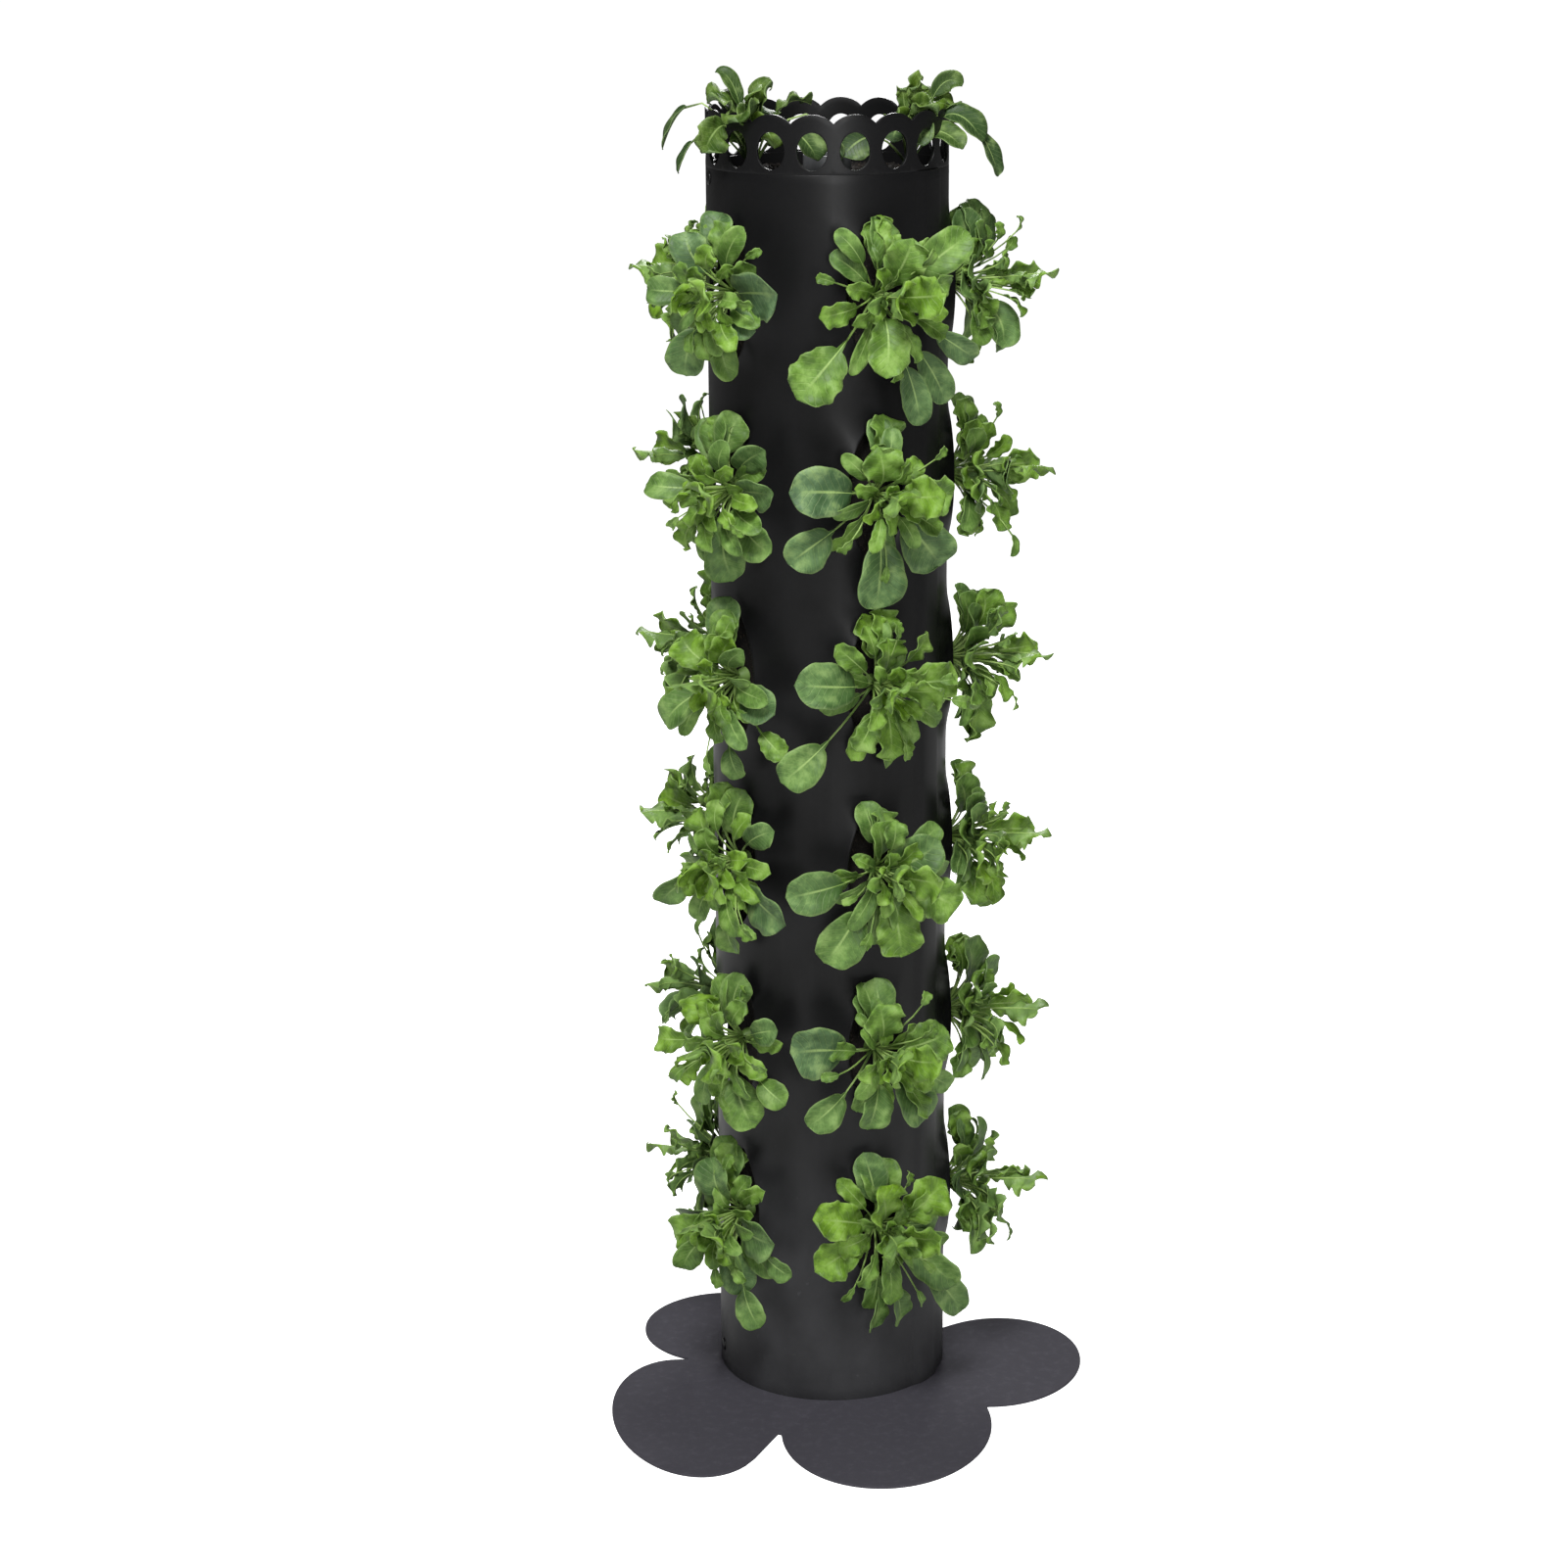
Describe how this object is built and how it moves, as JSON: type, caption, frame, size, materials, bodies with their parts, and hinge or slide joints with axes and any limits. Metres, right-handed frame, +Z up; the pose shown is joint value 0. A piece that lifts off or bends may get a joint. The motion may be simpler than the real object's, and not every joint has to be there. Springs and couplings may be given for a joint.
{
  "type": "vertical planter tower",
  "caption": "Tall black plastic tube planter with rows of planting slits, a scalloped and perforated crown, a flower-shaped foot plate, a watering pipe and leafy greens.",
  "frame": {"origin": "on the floor, under the foot plate, on the tube's axis", "axes": "+Z up along the tube, -Y towards the viewer of the picture, +X to the viewer's right"},
  "size_m": [0.5206, 0.553, 1.4505],
  "materials": {
    "wall": "satin black sheet plastic",
    "plate": "matt charcoal sheet plastic",
    "pan": "matt black moulded plastic",
    "pipe": "semi-gloss dark grey pipe",
    "medium": "moist potting soil",
    "rivet": "satin black push rivet",
    "screw": "stainless steel",
    "dark_leaf": "semi-matt dark green leaves",
    "bright_leaf": "semi-matt bright green leaves"
  },
  "bodies": {
    "root": {"foot_plate": "plate", "drain_pan": "pan", "tower_wall": "wall", "scalloped_crown": "wall", "watering_pipe": "pipe", "growing_medium": "medium", "seam_rivet_1": "rivet", "seam_rivet_2": "rivet", "seam_rivet_3": "rivet", "seam_rivet_4": "rivet", "seam_rivet_5": "rivet", "seam_rivet_6": "rivet", "crown_rivet_1": "rivet", "crown_rivet_2": "rivet", "crown_rivet_3": "rivet", "crown_rivet_4": "rivet", "pan_rivet_1": "rivet", "pan_rivet_2": "rivet", "pan_rivet_3": "rivet", "pan_rivet_4": "rivet", "base_screw_1": "screw", "base_screw_2": "screw", "base_screw_3": "screw", "base_screw_4": "screw", "green_c1_r1": "bright_leaf", "green_c1_r2": "dark_leaf", "green_c1_r3": "bright_leaf", "green_c1_r4": "dark_leaf", "green_c1_r5": "bright_leaf", "green_c1_r6": "dark_leaf", "green_c2_r1": "dark_leaf", "green_c2_r2": "bright_leaf", "green_c2_r3": "dark_leaf", "green_c2_r4": "bright_leaf", "green_c2_r5": "dark_leaf", "green_c2_r6": "bright_leaf", "green_c3_r1": "bright_leaf", "green_c3_r2": "dark_leaf", "green_c3_r3": "bright_leaf", "green_c3_r4": "dark_leaf", "green_c3_r5": "bright_leaf", "green_c3_r6": "dark_leaf", "green_c4_r1": "dark_leaf", "green_c4_r2": "bright_leaf", "green_c4_r3": "dark_leaf", "green_c4_r4": "bright_leaf", "green_c4_r5": "dark_leaf", "green_c4_r6": "bright_leaf", "green_c5_r1": "bright_leaf", "green_c5_r2": "dark_leaf", "green_c5_r3": "bright_leaf", "green_c5_r4": "dark_leaf", "green_c5_r5": "bright_leaf", "green_c5_r6": "dark_leaf", "rim_green_left": "bright_leaf", "rim_green_right": "bright_leaf"}
  },
  "joints": []
}
